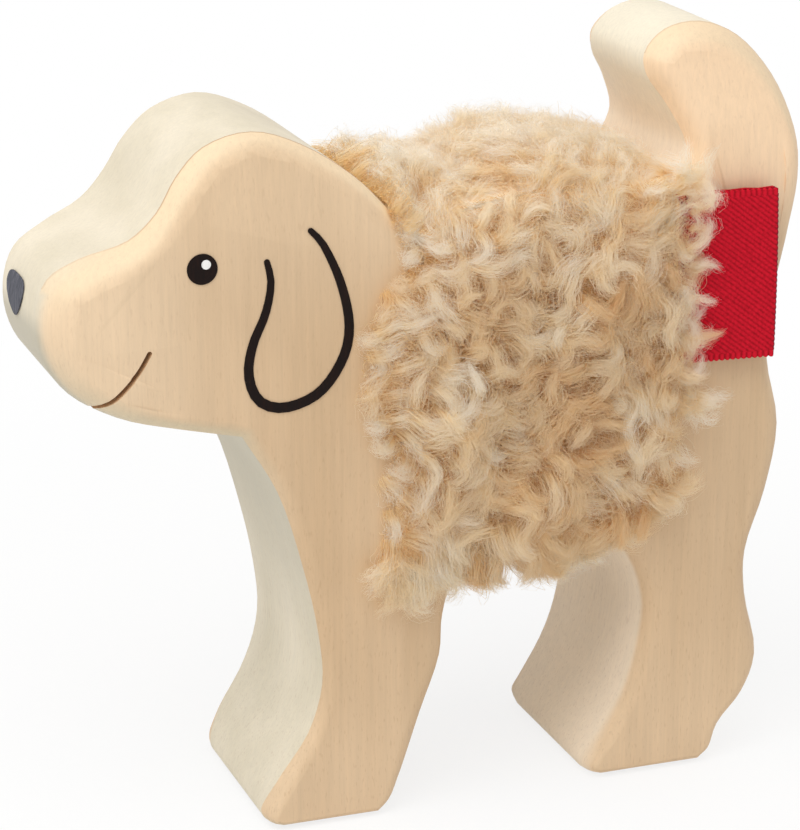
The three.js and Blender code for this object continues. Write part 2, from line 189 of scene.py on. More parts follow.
# What the pile on the back gains in height, and the height of the coat's hem, by place along the dog
BACK_RISE = np.array([
    (-9, 1.8), (-5, 0.3), (-1, -2.2), (4, -4.6), (8, -2.9), (13, -0.8), (18, -0.3), (24, -1.5), (37, -1.8),
]) * MM
COAT_HEM = np.array([
    (-12, 30.0), (-3, 30.4), (-1, 34.6), (3, 34.2), (8, 31.8), (15, 30.8), (18, 31.4), (24, 35.0),
    (37, 42.0),
]) * MM
HEM_SOFTNESS = 1.2 * MM

# Pile: square to the wood where it is thin, lower towards the coat's edges, and hanging below the flanks
LEAST_PILE = 0.9 * MM
THIN_PILE = 1.5 * MM
UPRIGHT = 0.7
EDGE_MARGIN = 1.4 * MM
FRONT_FEATHER = 8 * MM
FRONT_DROP = 0.7
REAR_FEATHER = 4 * MM
REAR_DROP = 0.4
SKIRT_TOP = 45 * MM
SKIRT_DEPTH = 9 * MM
SKIRT_SAG = 4.5 * MM
SKIRT_REACH = 4.0 * MM
HEM_REACH = 1.5 * MM

# Knitted ground under the pile, on the coat's inner faces, which lie within a gap of what they cover
SKIN_GAP = 1.2 * MM
SKIN_LIFT = 0.01 * MM
BACKING_THICKNESS = 0.4 * MM
BACKING_GRID = 2.0 * MM
BACKING_MARGIN = 3.2 * MM
BACKING_GRAIN = ((1, 1, 0.5), 1800, 2.0, 0.6)
BACKING_NOISE = (0.35, 0.65)
BACKING_RELIEF = (0.15 * MM, 0.8)
# The knit's tan, darkened as painted shade of the fur between the locks
BACKING_SHADE_DARK = srgb(214, 178, 130)
BACKING_SHADE_LIGHT = srgb(232, 202, 158)

# Fibres, whose map holds their tones
PILE_MAP = "OFBake"
PILE_TONES = [
    (0.0, srgb(226, 194, 148)), (0.3, srgb(244, 221, 184)), (0.55, srgb(251, 237, 210)),
    (0.8, srgb(254, 246, 229)), (1.0, srgb(255, 252, 245)),
]
# Painted shade deep in the pile: fibres darker towards their roots
PILE_ROOT_SHADE = srgb(249, 235, 204)
PILE_ROOT_SHADE_SHARE = 0.5
FIBRE_CLEARNESS = 0.7
TONE_LIMITS = (0.02, 0.98)
TONE_SPREAD = 0.003
MOST_TRIANGLES = 190000

# Curls: the way they hang, and the shares of their length by which they have risen and from which they dip
HANG = np.array([[0.3, 0.0, -1.0]])
CURL_RISEN = 0.4
CURL_DIPS = 0.5

# Locks: their sizes, and how they lie, curl and differ in tone, which drifts over patches of the coat
LOCK_CANDIDATES = 15000
LOCK_SPACING = 2.5 * MM
LOCK_POINTS = 14
LOCK_THICKNESS = (1.5 * MM, 2.6 * MM)
LOCK_LENGTH = (5.0 * MM, 8.5 * MM)
LOCK_LEAST = 0.8 * MM
LOCK_THINNEST = 0.5
LOCK_SINK = 0.45
LOCK_TURN = (0.4, 3.0)
LOCK_WAVE = 0.5
LOCK_DIP = (0.1, 0.7)
LOCK_CENTRED = 0.85
HANGING_OFF_CENTRE = 0.6
REAR_HANGING = 0.7
HANGING_STRAIGHTER = 0.8
HANGING_LONGER = 0.3
SKIRT_STRAIGHTER = 0.6
FRONT_STRAIGHTER = 0.5
FRONT_SHORTER = 0.35
FRONT_LOOSENESS = 0.6
HEIGHT_DRIFT = 0.13
HEIGHT_PATCH = 16 * MM
SWIRL_DRIFT = 1.7
SWIRL_PATCH = 20 * MM
SWIRL_SPREAD = 0.45
CURL_PATCH = 15 * MM
CURL_SPREAD = 0.7
EDGE_TURN = 1.3
EDGE_SPREAD = 0.5
LOCK_TONE = 0.66
LOCK_TONE_SPREAD = 0.08
TONE_DRIFT = 0.11
TONE_PATCH = 9 * MM
# Painted light on the coat's top
TOP_PAINTED_LIGHT = 0.38
TOP_UP = (74 * MM, 88 * MM)
FRONT_TONE = 0.30
FRONT_ALONG = (7 * MM, -8 * MM)
SKIRT_TONE = 0.06

# Strands of the locks and the stray curls: their spot off the middle and their twist are a mean and a spread
STRANDS_PER_LOCK = 125
STRANDS_PER_WISP = 60
STRAND_STEPS = 10
STRAND_WIDTH = 0.052 * MM
WISP_WIDTH = 0.042 * MM
STRAND_TAPER = ([0, 0.2, 0.7, 1], [0.8, 1, 0.8, 0.2])
STRAND_REACH = (0.7, 1.0)
STRAND_SPOT = (0.38, 0.32)
STRAND_TONE_SPREAD = 0.05
STRAND_TWIST_SPREAD = 0.45
STRAND_ROUNDNESS = 0.9
STRAND_TURN = 0.3
BUNDLE_TWIST = (0.8, 0.6)
BUNDLE_ROOT = 0.8
BUNDLE_BELLY = 0.35
BUNDLE_CLOSING = 0.6
BUNDLE_TIP = 2.5
LOOSE_OPENING = 0.9
LOOSE_SPREAD = 0.5
FRIZZ = 0.22 * MM
FRIZZ_WAVES = (1.0, 3.5)
FRIZZ_GROWTH = 3
LOOSE_FRIZZ = 1.5

# Fibres outside the locks, whose heights are shares of the pile's
SINGLE_FIBRES = {
    # Painted shade: the underfur's lower tone darkens it deep in the pile
    "coat_underfur": dict(
        count=24000, steps=5, heights=(0.4, 0.85), lengths=(2.0 * MM, 4.5 * MM), bend=1.6, reach=0.0,
        width=0.16 * MM, tone=0.48,
    ),
    "coat_fuzz": dict(
        count=14000, steps=8, heights=(0.5, 0.92), lengths=(2.5 * MM, 5.5 * MM), bend=2.0, reach=0.4 * MM,
        width=0.04 * MM, tone=0.70,
    ),
    "coat_flyaways": dict(
        count=14000, steps=8, heights=(0.8, 1.08), lengths=(2.5 * MM, 6.5 * MM), bend=1.6, reach=0.9 * MM,
        width=0.028 * MM, tone=0.78,
    ),
}
FIBRE_LEAST = 0.4 * MM
FIBRE_DIP = (-0.3, 0.6)
FIBRE_CENTRED = 0.8
FIBRE_WAVE = 0.5
FIBRE_TURN = 0.5
FIBRE_TIP = 0.35
FIBRE_TONE_SPREAD = 0.08

# Stray curls: their turn from hanging down and its spread, length, curl, reach from the dog, and tone
STRAY_CURLS = {
    "rear": dict(angle=-1.5, spread=0.7, lengths=(3.5 * MM, 6.5 * MM), curl=2.8, reach=3 * MM, tone=0.88),
    "hem": dict(angle=0.35, spread=0.35, lengths=(4.5 * MM, 8.0 * MM), curl=1.2, reach=3 * MM, tone=0.78),
    "tail": dict(angle=-2.3, spread=0.6, lengths=(5.0 * MM, 8.0 * MM), curl=3.2, reach=5 * MM, tone=0.94),
    "flank": dict(angle=-1.0, spread=0.3, lengths=(4.5 * MM, 6.0 * MM), curl=1.5, reach=4 * MM, tone=0.97),
}
WISP_RISE = (0.8 * MM, 2.6 * MM)
WISP_THICKNESS = (0.7 * MM, 1.3 * MM)
WISP_LEAST = 0.7 * MM
WISP_DIP = (0.2, 0.9)
WISP_WAVE = 0.6
WISP_LOOSENESS = 0.3
WISP_TONE_SPREAD = 0.06
SIDE_WISP_LIFT = 1.5 * MM
REAR_WISPS = 44
REAR_WISP_BELOW = 8 * MM
REAR_WISP_ABOVE = 3.5 * MM
REAR_WISP_INSET = (1.2 * MM, 4.2 * MM)
REAR_WISP_LIFT = 0.3 * MM
HEM_WISPS = 110
HEM_WISP_ROOTS = np.array([(-8, 37.5), (-5, 36.0), (-0.5, 36.0), (3, 39.5), (14, 39.0)]) * MM
HEM_WISP_RISE = (-1.0 * MM, 3.0 * MM)
HEM_WISP_CROWDING = 1.5
TAIL_WISPS = 9
TAIL_WISP_PLACE = np.array([34.2, 86.0]) * MM
TAIL_WISP_SPREAD = 1.5 * MM
FLANK_WISPS = 4
FLANK_WISP_PLACE = np.array([35.6, 56.5]) * MM
FLANK_WISP_SPREAD = 0.6 * MM

# Label
LABEL_PLY = 0.42 * MM
LABEL_STEP = 0.13 * MM
LABEL_INNER_STEPS = 8
LABEL_FOLD_STEPS = 12
LABEL_RIB_PITCH = 0.60 * MM
LABEL_RIB_ANGLE = math.radians(38)
LABEL_RIB_HEIGHT = 0.035 * MM
LABEL_SELVEDGE = 0.8 * MM
LABEL_SELVEDGE_GAIN = 1.6
LABEL_BEAD_PITCH = 0.78 * MM
LABEL_BEAD = 0.10 * MM
LABEL_STAND = 1.2 * MM
LABEL_STAND_CURVE = 1.5
LABEL_BOW = 0.25 * MM
LABEL_FLARE = 0.3 * MM
LABEL_GRAIN = ((1, 1, 1), 2600, 2.0, 0.6)
LABEL_YARN = (0.3, 0.7, -0.9, 0.9)
LABEL_YARN_RELIEF = (0.05 * MM, 0.6)
LABEL_RIBS = (-1.3, 1.3)
LABEL_FOLD_SHADE = (0.3, 0.8, 0.0, 0.8)
# Painted shade between the ribs and beads, mixed with the yarn's random tone
LABEL_DARK = srgb(156, 4, 24)
LABEL_RED = srgb(208, 18, 42)
LABEL_FOLD = srgb(66, 18, 48)
WEAVE_MAP = "weave"
FOLD_MAP = "fold"


# Helpers

def new_object(name, data):
    """An object in the scene for a mesh, lamp or camera."""
    piece = bpy.data.objects.new(name, data)
    bpy.context.scene.collection.objects.link(piece)
    return piece


def thicken(piece, thickness, offset):
    """Gives a sheet its thickness."""
    ply = piece.modifiers.new("ply", "SOLIDIFY")
    ply.thickness = thickness
    ply.offset = offset


def dress(piece, slot, *materials):
    """Gives a piece its materials and lets it ride on the body; the slot is not used."""
    for material in materials:
        piece.data.materials.append(material)
    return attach(piece, BODY)


def arrays_of(mesh):
    """A mesh's points, and its triangles as rows of point numbers."""
    mesh.calc_loop_triangles()
    points = np.empty(len(mesh.vertices) * 3)
    triangles = np.empty(len(mesh.loop_triangles) * 3, np.int32)
    mesh.vertices.foreach_get("co", points)
    mesh.loop_triangles.foreach_get("vertices", triangles)
    return points.reshape(-1, 3), triangles.reshape(-1, 3)


def tree_of(*names):
    """One search tree of several CAD nodes' triangles."""
    points, triangles, start = [], [], 0
    for name in names:
        node_points, node_triangles = arrays_of(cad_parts[name].data)
        points.append(node_points)
        triangles.append(node_triangles + start)
        start += len(node_points)
    return BVHTree.FromPolygons(np.concatenate(points).tolist(), np.concatenate(triangles).tolist())


def unit(vectors):
    """Vectors brought to length one."""
    return vectors / np.maximum(np.linalg.norm(vectors, axis=-1, keepdims=True), 1e-9)


def ramp(values, start, end):
    """How far values have come from a start to an end, from nought to one."""
    return np.clip((values - start) / (end - start), 0, 1)


def smooth(share):
    """A share eased at both its ends."""
    share = np.clip(share, 0, 1)
    return share * share * (3 - 2 * share)


# Material nodes

def new_material(name):
    """A material with its node tree and its shader."""
    material = bpy.data.materials.new(name)
    material.use_nodes = True
    return material, material.node_tree, material.node_tree.nodes["Principled BSDF"]


def feed(tree, node, inputs):
    """Sets inputs of a node to values or to other nodes' outputs."""
    for key, value in inputs.items():
        if isinstance(value, bpy.types.NodeSocket):
            tree.links.new(value, node.inputs[key])
        else:
            node.inputs[key].default_value = value


def add_node(tree, kind, inputs=None, **settings):
    """A new node with its settings and inputs."""
    node = tree.nodes.new(kind)
    for key, value in settings.items():
        setattr(node, key, value)
    feed(tree, node, inputs or {})
    return node


def mix_shaders(tree, share, first, second):
    """Shows a material as two shaders mixed by a share."""
    mix = add_node(tree, "ShaderNodeMixShader", {0: share, 1: first, 2: second})
    feed(tree, tree.nodes["Material Output"], {"Surface": mix.outputs["Shader"]})


def object_place(tree):
    """The place on the dog, in its own frame."""
    return add_node(tree, "ShaderNodeTexCoord").outputs["Object"]


def parts_of(tree, vector):
    """The outputs for a vector's X, Y and Z."""
    return add_node(tree, "ShaderNodeSeparateXYZ", {"Vector": vector}).outputs


def stretched_noise(tree, place, stretch, scale, detail, roughness):
    """Noise whose pattern is drawn out along an axis, as grain is."""
    mapping = add_node(tree, "ShaderNodeMapping", {"Vector": place, "Scale": stretch})
    noise = add_node(tree, "ShaderNodeTexNoise", {
        "Vector": mapping.outputs["Vector"], "Scale": scale, "Detail": detail, "Roughness": roughness,
    })
    return noise.outputs["Fac"]


def ranged(tree, value, low, high, to_low=0.0, to_high=1.0, smooth=False):
    """A value taken from one range to another, and held at its ends."""
    node = add_node(tree, "ShaderNodeMapRange", {
        "Value": value, "From Min": low, "From Max": high, "To Min": to_low, "To Max": to_high,
    }, interpolation_type="SMOOTHSTEP" if smooth else "LINEAR")
    return node.outputs["Result"]


def math_node(tree, operation, first, second=0.0):
    """The result of an operation on one or two values."""
    return add_node(tree, "ShaderNodeMath", {0: first, 1: second}, operation=operation).outputs["Value"]


def product(tree, first, *others):
    """The product of several values."""
    for other in others:
        first = math_node(tree, "MULTIPLY", first, other)
    return first


def greatest(tree, first, *others):
    """The greatest of several values."""
    for other in others:
        first = math_node(tree, "MAXIMUM", first, other)
    return first


def mixed(tree, share, first, second, blend="MIX"):
    """Two colours mixed by a share."""
    node = add_node(tree, "ShaderNodeMix", {"Factor": share, 6: first, 7: second},
                    data_type="RGBA", blend_type=blend)
    return node.outputs[2]


def mixed_value(tree, share, first, second):
    """Two values mixed by a share."""
    return add_node(tree, "ShaderNodeMix", {"Factor": share, 2: first, 3: second}).outputs[0]


def shaded(tree, colour, value):
    """A colour made darker or lighter by a value."""
    grey = add_node(tree, "ShaderNodeCombineColor", {0: value, 1: value, 2: value}).outputs["Color"]
    return mixed(tree, 1.0, colour, grey, "MULTIPLY")


def bump(tree, height, distance, strength):
    """A normal for the fine relief of a height."""
    node = add_node(tree, "ShaderNodeBump", {"Height": height, "Distance": distance, "Strength": strength})
    return node.outputs["Normal"]


# Materials

def wood_inputs(tree):
    """What the wood's finish follows: its grain, and ranges of the place on it and the surface's turn."""
    place = object_place(tree)
    where = parts_of(tree, place)
    surface = add_node(tree, "ShaderNodeNewGeometry").outputs
    rounded = parts_of(tree, surface["Normal"])
    facet = parts_of(tree, surface["True Normal"])
    grain = {name: stretched_noise(tree, place, *kind) for name, kind in WOOD_GRAIN.items()}
    followed = {
        "along": where["X"], "up": where["Z"], "slope": rounded["Z"],
        "tilt": math_node(tree, "ABSOLUTE", rounded["Y"]),
        "facet_tilt": math_node(tree, "ABSOLUTE", facet["Y"]),
    }
    ranges = {name: partial(ranged, tree, value) for name, value in followed.items()}
    return SimpleNamespace(**grain, **ranges)


def side_colour(tree, wood):
    """The sides, paled by painted light at the muzzle, crown, feet, tail and upward rounded edges, and
    greyed by painted shade under the chin.
    """
    colour = mixed(tree, ranged(tree, wood.broad, *MIDDLE_NOISE), SIDE_DARK, SIDE_LIGHT)
    tail = product(tree, wood.up(*TAIL_UP, smooth=True), wood.along(*TAIL_ALONG))
    # Painted light: paler at the muzzle, crown, feet and tail
    pale = greatest(
        tree, tail, wood.along(*MUZZLE_ALONG, smooth=True),
        wood.up(*CROWN_UP, smooth=True), wood.up(*FEET_UP, smooth=True),
    )
    colour = mixed(tree, pale, colour, SIDE_PAINTED_LIGHT)
    # The tail takes more painted light still
    colour = mixed(tree, product(tree, tail, TAIL_LIGHT_SHARE), colour, TAIL_PAINTED_LIGHT)
    # Painted light: rounded edges that face up are paler
    rounding_light = product(
        tree, wood.tilt(*ROUNDING_LIGHT_TILT, smooth=True), wood.slope(*ROUNDING_LIGHT_SLOPE),
        wood.up(*ROUNDING_LIGHT_UP, smooth=True),
    )
    colour = mixed(tree, rounding_light, colour, ROUNDING_PAINTED_LIGHT)
    # Painted shade: the rounding under the chin, facing down, is greyer
    under = product(tree, wood.slope(*CHIN_EDGE_SLOPE), wood.along(*CHIN_ALONG))
    return mixed(tree, under, colour, CHIN_EDGE_SHADE)


def rim_colour(tree, wood):
    """The sawn rim: greyed by painted shade under the chin, lighter and warmer behind, where painted light
    lifts it, pale again at the tail's tip.
    """
    colour = mixed(tree, ranged(tree, wood.broad, *MIDDLE_NOISE), RIM_DARK, RIM_LIGHT)
    # Painted shade: the rim under the chin, facing down, is greyer
    chin = product(tree, wood.up(*CHIN_UP, smooth=True), wood.slope(*CHIN_RIM_SLOPE))
    colour = mixed(tree, chin, colour, CHIN_RIM_SHADE)
    # Painted light: the rim behind is lighter, and warmer in tone
    behind = wood.along(*REAR_ALONG)
    colour = mixed(tree, behind, colour, REAR_RIM_PAINTED_LIGHT)
    tip = product(tree, behind, wood.up(*TAIL_TIP_UP))
    return mixed(tree, tip, colour, TAIL_TIP_RIM)


def side_share(tree, wood):
    """Where the sides' colour shows: up to a crisp crease, or softly at the muzzle and the rear leg."""
    leg = product(tree, wood.along(*SOFT_LEG_ALONG), wood.up(*SOFT_LEG_UP))
    soft = greatest(tree, leg, wood.along(*SOFT_MUZZLE_ALONG))
    return mixed_value(tree, soft, wood.facet_tilt(*CRISP_TILT), wood.tilt(*SOFT_TILT, smooth=True))


def grained(tree, wood, colour):
    """A colour with the streaks, clouds and flecks of the grain, and a darker line along the creases."""
    colour = shaded(tree, colour, ranged(tree, wood.fine, *STREAK_SHADES))
    colour = shaded(tree, colour, ranged(tree, wood.cloud, *CLOUD_SHADES))
    marks = product(tree, ranged(tree, wood.fleck, *FLECK_NOISE), wood.up(*FLECK_UP))
    colour = mixed(tree, marks, colour, FLECKS)
    crease = add_node(tree, "ShaderNodeAttribute", attribute_name=CREASE_MAP).outputs["Fac"]
    crease_line = product(
        tree, ranged(tree, crease, *CREASE_LINE_RANGE), wood.up(*CREASE_LINE_UP, smooth=True),
        wood.along(*CREASE_LINE_TAIL), wood.along(*CREASE_LINE_MUZZLE),
    )
    return mixed(tree, crease_line, colour, CREASE_LINE_COLOUR)


def wood_material(name):
    """Pale wood, smoothed by sanding, with upright grain and a darker line along the crease of its rounded
    edges.
    """
    material, tree, shader = new_material(name)
    wood = wood_inputs(tree)
    colour = mixed(tree, side_share(tree, wood), rim_colour(tree, wood), side_colour(tree, wood))
    feed(tree, shader, {
        "Base Color": grained(tree, wood, colour),
        "Roughness": ranged(tree, wood.fine, *WOOD_ROUGHNESS),
        "Specular IOR Level": 0.35,
        "Normal": bump(tree, wood.fine, *WOOD_RELIEF),
    })
    return material


def kerf_material(name):
    """Saw-cut wood in the depth of the mouth, its browns darkened as painted shade of the narrow cut."""
    material, tree, shader = new_material(name)
    cut = stretched_noise(tree, object_place(tree), *KERF_GRAIN)
    feed(tree, shader, {
        "Base Color": mixed(tree, cut, KERF_SHADE_DARK, KERF_LIGHT),
        "Roughness": 0.8,
        "Normal": bump(tree, cut, *KERF_RELIEF),
    })
    return material


def paint_material(name, thick, thin, grain, roughness):
    """Brushed paint whose colour thins along the grain of the wood under it."""
    material, tree, shader = new_material(name)
    fine = stretched_noise(tree, object_place(tree), *PAINT_GRAIN)
    share = ranged(tree, fine, *PAINT_THIN_NOISE, 0.0, grain)
    feed(tree, shader, {
        "Base Color": mixed(tree, share, thick, thin),
        "Roughness": ranged(tree, fine, *MIDDLE_NOISE, roughness, roughness + PAINT_ROUGHER),
        "Specular IOR Level": 0.15,
        "Normal": bump(tree, fine, *WOOD_RELIEF),
    })
    return material


def pile_material(name):
    """Wool fibre, which lets light through: tone runs across its map, root to tip runs up it, and painted
    shade darkens it towards the root.
    """
    material, tree, shader = new_material(name)
    fibre = add_node(tree, "ShaderNodeUVMap", uv_map=PILE_MAP)
    tone = parts_of(tree, fibre.outputs["UV"])
    tones = add_node(tree, "ShaderNodeValToRGB", {"Fac": tone["X"]})
    stops = tones.color_ramp.elements
    for i, (place, colour) in enumerate(PILE_TONES):
        stop = stops[i] if i < len(stops) else stops.new(place)
        stop.position = place
        stop.color = colour
    # Painted shade towards the fibres' roots
    depth = mixed(tree, ranged(tree, tone["Y"], 0.0, PILE_ROOT_SHADE_SHARE, smooth=True), PILE_ROOT_SHADE, WHITE)
    colour = mixed(tree, 1.0, tones.outputs["Color"], depth, "MULTIPLY")
    feed(tree, shader, {"Base Color": colour, "Roughness": 0.75, "Specular IOR Level": 0.2})
    through = add_node(tree, "ShaderNodeBsdfTranslucent", {"Color": colour})
    mix_shaders(tree, FIBRE_CLEARNESS, shader.outputs["BSDF"], through.outputs["BSDF"])
    return material


def backing_material(name):
    """Knitted ground of the plush, its tan darkened as painted shade of the fur."""
    material, tree, shader = new_material(name)
    knit = stretched_noise(tree, object_place(tree), *BACKING_GRAIN)
    feed(tree, shader, {
        "Base Color": mixed(tree, ranged(tree, knit, *BACKING_NOISE), BACKING_SHADE_DARK, BACKING_SHADE_LIGHT),
        "Roughness": 0.9,
        "Normal": bump(tree, knit, *BACKING_RELIEF),
    })
    return material


def ribbon_material(name):
    """Red woven twill, darker at the fold, with painted shade between its ribs and beads."""
    material, tree, shader = new_material(name)
    weave = add_node(tree, "ShaderNodeAttribute", attribute_name=WEAVE_MAP).outputs["Fac"]
    fold = add_node(tree, "ShaderNodeAttribute", attribute_name=FOLD_MAP).outputs["Fac"]
    yarn = stretched_noise(tree, object_place(tree), *LABEL_GRAIN)
    rib = math_node(tree, "ADD", weave, ranged(tree, yarn, *LABEL_YARN))
    # Painted shade between the ribs and beads
    colour = mixed(tree, ranged(tree, rib, *LABEL_RIBS), LABEL_DARK, LABEL_RED)
    feed(tree, shader, {
        "Base Color": mixed(tree, ranged(tree, fold, *LABEL_FOLD_SHADE), colour, LABEL_FOLD),
        "Roughness": 0.66,
        "Specular IOR Level": 0.12,
        "Normal": bump(tree, yarn, *LABEL_YARN_RELIEF),
    })
    return material


# Wood and paint

def flatten_slivers(shape):
    """Puts the middle corner of each sliver on a side face in line with its two ends."""
    for face in shape.faces:
        middle = max(face.loops, key=lambda loop: loop.calc_angle())
        if abs(face.normal.y) > FACE_TILT and middle.calc_angle() > SLIVER_ANGLE:
            start, end = middle.link_loop_next.vert.co, middle.link_loop_prev.vert.co
            along = end - start
            share = (middle.vert.co - start).dot(along) / along.length_squared
            middle.vert.co.y = start.y + share * along.y
    shape.normal_update()


def build_wood():
    """The plank, with its facets smoothed and a crease left sharp where the rounding meets the rim."""
    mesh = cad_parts["wooden_body"].data.copy()
    mesh.materials.clear()
    shape = bmesh.new()
    shape.from_mesh(mesh)
    bmesh.ops.remove_doubles(shape, verts=shape.verts, dist=WELD)
    crease = shape.loops.layers.float.new(CREASE_MAP)
    flatten_slivers(shape)
    for face in shape.faces:
        face.smooth = True
        face.material_index = int(abs(face.normal.y) < RIM_TILT)
    for edge in shape.edges:
        rim, edging = sorted(edge.link_faces, key=lambda face: abs(face.normal.y))
        angle = edge.calc_face_angle(0.0)
        edge.smooth = angle < SHARP_EDGE or abs(rim.normal.y) > FACE_TILT
        if abs(rim.normal.y) < RIM_TILT < abs(edging.normal.y) and angle < SHARP_EDGE:
            rim.material_index = 0
            place = edge.verts[0].co
            # Crisp creases carry the darker line; the muzzle's front and the rear leg stay soft
            crisp_crease = place.x > SOFT_MUZZLE_X or rim.normal.z > SOFT_MUZZLE_SLOPE
            crisp_crease = crisp_crease and not (place.x > SOFT_LEG_X and place.z < SOFT_LEG_TOP)
            edge.smooth = not crisp_crease
            for loop in (loop for point in edge.verts for loop in point.link_loops):
                if RIM_TILT < abs(loop.face.normal.y) < EDGING_TILT:
                    loop[crease] = crisp_crease * min(max(rim.normal.z * CREASE_GAIN, 0), 1)
    shape.to_mesh(mesh)
    shape.free()
    piece = new_object("dog_wood", mesh)
    normals = piece.modifiers.new("normals", "WEIGHTED_NORMAL")
    normals.weight = NORMAL_WEIGHT
    normals.keep_sharp = True
    dress(piece, "wood", wood_material("pale_wood"), kerf_material("saw_kerf"))
    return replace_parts(piece, "wooden_body")


def paint_nodes():
    """Materials for the painted films, which keep their solids."""
    for name, (*finish, nodes) in PAINTS.items():
        material = paint_material(name, *finish)
        for node in nodes:
            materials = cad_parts[node].data.materials
            materials.clear()
            materials.append(material)


# Plush coat

class Skin:
    """The outer triangles of the coat's solid, and those that lie on what it covers."""

    def __init__(self, covered):
        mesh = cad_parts["plush_coat"].data
        self.points, triangles = arrays_of(mesh)
        corners = self.points[triangles]
        cross = np.cross(corners[:, 1] - corners[:, 0], corners[:, 2] - corners[:, 0])
        normals = unit(cross)
        starts = corners.mean(1) + normals * SKIN_LIFT
        inner = np.array([
            covered.ray_cast(Vector(start), Vector(normal), SKIN_GAP)[0] is not None
            for start, normal in zip(starts, normals)
        ])
        self.inner = triangles[inner]
        self.corners, self.normals = corners[~inner], normals[~inner]
        areas = np.linalg.norm(cross[~inner], axis=1)
        self.shares = areas / areas.sum()

    def scatter(self, count):
        """Points spread evenly over the outside within the coat's edges, with its normals."""
        pick = rng.choice(len(self.shares), count, p=self.shares)
        u, v = rng.random((2, count, 1))
        u, v = np.where(u + v > 1, 1 - u, u), np.where(u + v > 1, 1 - v, v)
        a, b, c = (self.corners[pick, i] for i in range(3))
        points = a + u * (b - a) + v * (c - a)
        kept = np.minimum(*edge_distances(points)) > EDGE_MARGIN
        return points[kept], self.normals[pick][kept]


def edge_distances(points):
    """How far points lie inside the coat's front edge and its rear edge."""
    front = points[:, 0] - np.interp(points[:, 2], *COAT_FRONT.T)
    rear = np.interp(points[:, 2], *COAT_REAR.T) - points[:, 0]
    return front, rear


def edge_shares(points):
    """How near points lie to the coat's front edge and its rear edge, from nought to one."""
    front, rear = edge_distances(points)
    return 1 - smooth(front / FRONT_FEATHER), 1 - smooth(rear / REAR_FEATHER)


def feathered(points):
    """The pile's share of its full height, which falls off towards the coat's edges."""
    ahead, behind = edge_shares(points)
    return np.minimum(1 - FRONT_DROP * ahead, 1 - REAR_DROP * behind)


def spaced(points, gap):
    """Numbers of points that keep a least distance to each other."""
    kept = [0]
    for i, point in enumerate(points):
        if ((points[kept] - point) ** 2).sum(1).min() > gap * gap:
            kept.append(i)
    return np.array(kept)


def nearest(tree, points):
    """The nearest places on a tree, and the normals there."""
    found = [tree.find_nearest(Vector(point)) for point in points]
    return np.array([f[0] for f in found]), np.array([f[1] for f in found])


def drift(points, wavelength, waves=12):
    """A smooth random value over space, of about unit size."""
    ways = unit(rng.normal(size=(waves, 3))) * math.tau / wavelength
    return np.sin(points @ ways.T + rng.uniform(0, math.tau, waves)).sum(1) * math.sqrt(2 / waves)


def lying(up, angle):
    """A direction across up, turned by an angle from the way that hangs down."""
    first = unit(HANG - (HANG * up).sum(1, keepdims=True) * up)
    angle = angle[:, None]
    return np.cos(angle) * first + np.sin(angle) * np.cross(up, first)


def curls(roots, up, first, height, length, turn, wave, dip, centred, points):
    """Guide lines that rise over their roots, lie over in a curl and dip at the tip."""
    share = np.linspace(0, 1, points)
    heading = turn[:, None] * share + wave[:, None] * np.sin(math.tau * share)
    step = length[:, None] / (points - 1)
    ahead = np.cumsum(np.cos(heading) * step, 1)
    aside = np.cumsum(np.sin(heading) * step, 1)
    ahead, aside = (way - centred[:, None] * way.mean(1, keepdims=True) for way in (ahead, aside))
    rise = np.sin(ramp(share, 0, CURL_RISEN) * math.pi / 2)
    rise = rise - dip[:, None] * ramp(share, CURL_DIPS, 1) ** 2
    second = np.cross(up, first)
    return (
        roots[:, None] + up[:, None] * (height[:, None] * rise)[..., None]
        + first[:, None] * ahead[..., None] + second[:, None] * aside[..., None]
    )


def keep_outside(lines, tree, least, most):
    """Moves guide points out of what they cover, and back to the pile's height."""
    flat = lines.reshape(-1, 3)
    places, normals = nearest(tree, flat)
    away = flat - places
    distance = np.linalg.norm(away, axis=1, keepdims=True)
    inside = (away * normals).sum(1, keepdims=True) < 0
    direction = np.where(inside, normals, unit(away))
    steps = lines.shape[1]
    least, most = (np.repeat(limit, steps)[:, None] for limit in np.broadcast_arrays(least, most))
    held = np.where(inside, least, np.clip(distance, least, np.maximum(least, most)))
    return (places + direction * held).reshape(lines.shape)


def carried_frames(lines):
    """Two directions across each line, carried along it without twist."""
    along = unit(np.gradient(lines, axis=1))
    helper = np.where(np.abs(along[:, 0, 2:3]) < 0.8, [[0.0, 0.0, 1.0]], [[1.0, 0.0, 0.0]])
    across = [unit(np.cross(along[:, 0], helper))]
    for i in range(1, lines.shape[1]):
        last = across[-1]
        across.append(unit(last - (last * along[:, i]).sum(1, keepdims=True) * along[:, i]))
    across = np.stack(across, 1)
    return across, np.cross(along, across)


def sampled(values, at):
    """Values along lines, read at shares of their length: (lines, strands, steps, 3)."""
    steps = values.shape[1] - 1
    index = np.minimum((at * steps).astype(int), steps - 1)
    part = (at * steps - index)[..., None]
    line = np.arange(values.shape[0])[:, None, None]
    return values[line, index] * (1 - part) + values[line, index + 1] * part


